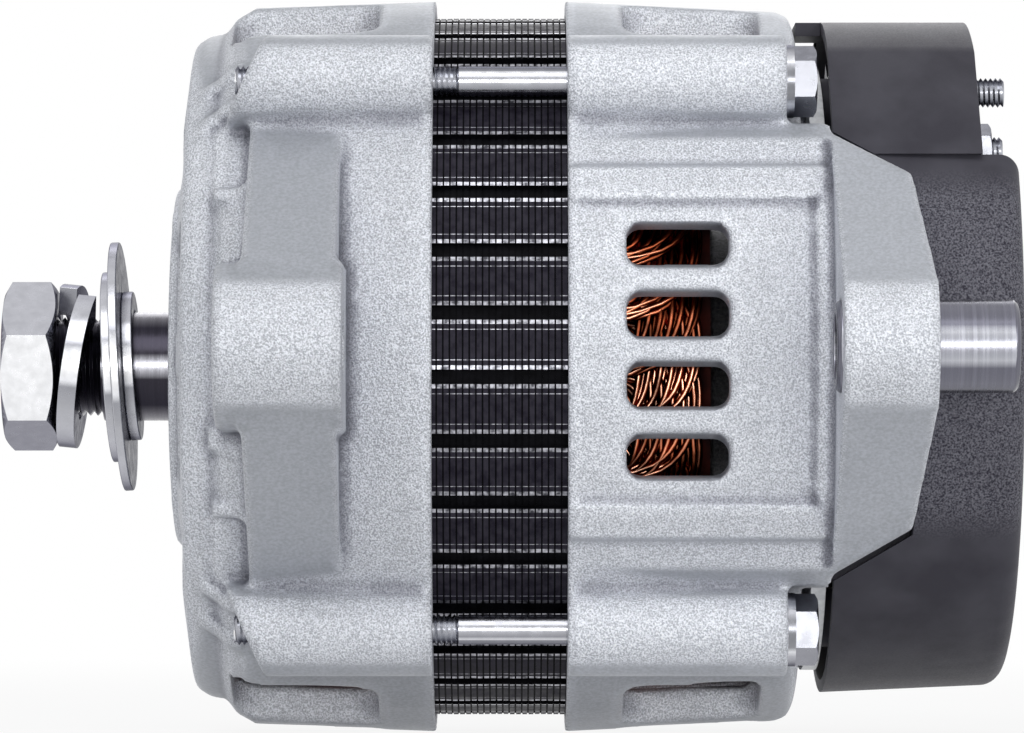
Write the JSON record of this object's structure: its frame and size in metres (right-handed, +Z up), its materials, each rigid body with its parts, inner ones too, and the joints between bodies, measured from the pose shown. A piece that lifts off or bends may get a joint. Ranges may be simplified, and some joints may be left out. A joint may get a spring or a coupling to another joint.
{
  "type": "alternator",
  "caption": "Belt driven vehicle alternator without its pulley: cast housings with pivot ears, finned stator stack, claw pole rotor, rear rectifier and black cover.",
  "frame": {"origin": "on the shaft axis, in the plane where the pulley's hub seats against the shaft spacer", "axes": "+X along the shaft to the terminal end, +Z up, the two pivot ears stand out towards -Y"},
  "size_m": [0.2034, 0.2071, 0.1478],
  "materials": {
    "cast_aluminium": "sand cast, fine grain, light silver",
    "bright_zinc": "bright zinc plated",
    "shaft_steel": "ground steel",
    "laminations": "varnished sheet stack",
    "copper_wire": "enamelled copper",
    "black_plastic": "moulded, fine grain",
    "dark_plastic": "moulded",
    "slot_plastic": "pressed strip",
    "pole_iron": "forged, turned on the outside",
    "fan_steel": "pressed sheet",
    "bearing_steel": "ground and polished",
    "cage_brass": "machined",
    "seal_rubber": "moulded",
    "ring_copper": "turned",
    "carbon": "pressed carbon and copper",
    "spring_steel": "drawn wire",
    "heat_sink": "extruded",
    "diode_case": "plated"
  },
  "bodies": {
    "housing": {"drive_end_housing": "cast_aluminium", "rear_housing": "cast_aluminium", "stator_core": "laminations", "stator_winding": "copper_wire", "slot_wedges": "slot_plastic", "through_bolts": "bright_zinc", "bearing_retainer": "fan_steel", "retainer_screws": "bright_zinc", "front_bearing_outer_ring": "bearing_steel", "front_bearing_seals": "seal_rubber", "rear_bearing_outer_ring": "bearing_steel", "rear_bearing_seals": "seal_rubber", "brush_holder": "dark_plastic", "holder_screws": "bright_zinc", "inner_brush_spring": "spring_steel", "outer_brush_spring": "spring_steel", "voltage_regulator": "heat_sink", "negative_plate": "heat_sink", "positive_plate": "heat_sink", "negative_diodes": "diode_case", "positive_diodes": "diode_case", "terminal_board": "dark_plastic", "output_stud": "bright_zinc", "second_stud": "bright_zinc", "second_stud_washer": "bright_zinc", "second_stud_nut": "bright_zinc", "rear_cover": "black_plastic", "cover_screws": "bright_zinc"},
    "rotor": {"rotor_shaft": "shaft_steel", "shaft_spacer": "shaft_steel", "front_bearing_inner_ring": "bearing_steel", "rear_bearing_inner_ring": "bearing_steel", "front_claw_pole": "pole_iron", "rear_claw_pole": "pole_iron", "field_core": "pole_iron", "coil_bobbin": "dark_plastic", "field_coil": "copper_wire", "front_fan": "fan_steel", "rear_fan": "fan_steel", "slip_ring_sleeve": "dark_plastic", "inner_slip_ring": "ring_copper", "outer_slip_ring": "ring_copper", "collar_ring": "bright_zinc", "large_washer": "bright_zinc", "flat_washer": "bright_zinc", "lock_washer": "bright_zinc", "pulley_nut": "bright_zinc"},
    "front_balls": {"front_bearing_balls": "bearing_steel", "front_bearing_cage": "cage_brass"},
    "rear_balls": {"rear_bearing_balls": "bearing_steel", "rear_bearing_cage": "cage_brass"},
    "inner_brush_set": {"inner_brush": "carbon"},
    "outer_brush_set": {"outer_brush": "carbon"},
    "bush": {"pivot_bush": "bright_zinc"}
  },
  "joints": [
    {"name": "rotor_spin", "type": "hinge", "parent": "housing", "child": "rotor", "pos_m": [0, 0, 0], "axis": [1, 0, 0], "continuous": true},
    {"name": "front_ball_orbit", "type": "hinge", "parent": "housing", "child": "front_balls", "pos_m": [0.0125, 0, 0], "axis": [1, 0, 0], "continuous": true},
    {"name": "rear_ball_orbit", "type": "hinge", "parent": "housing", "child": "rear_balls", "pos_m": [0.114, 0, 0], "axis": [1, 0, 0], "continuous": true},
    {"name": "inner_brush_slide", "type": "slide", "parent": "housing", "child": "inner_brush_set", "axis": [0, 0, -1], "range_m": [0, 0.005], "stiffness_N_per_m": 300, "springref_m": -0.008, "deforming": ["inner_brush_spring"]},
    {"name": "outer_brush_slide", "type": "slide", "parent": "housing", "child": "outer_brush_set", "axis": [0, 0, -1], "range_m": [0, 0.005], "stiffness_N_per_m": 300, "springref_m": -0.008, "deforming": ["outer_brush_spring"]},
    {"name": "bush_slide", "type": "slide", "parent": "housing", "child": "bush", "axis": [1, 0, 0], "range_m": [-0.003, 0.003]}
  ],
  "couplings": [
    {"joint": "front_ball_orbit", "follows": "rotor_spin", "ratio": 0.369},
    {"joint": "rear_ball_orbit", "follows": "rotor_spin", "ratio": 0.3641}
  ]
}
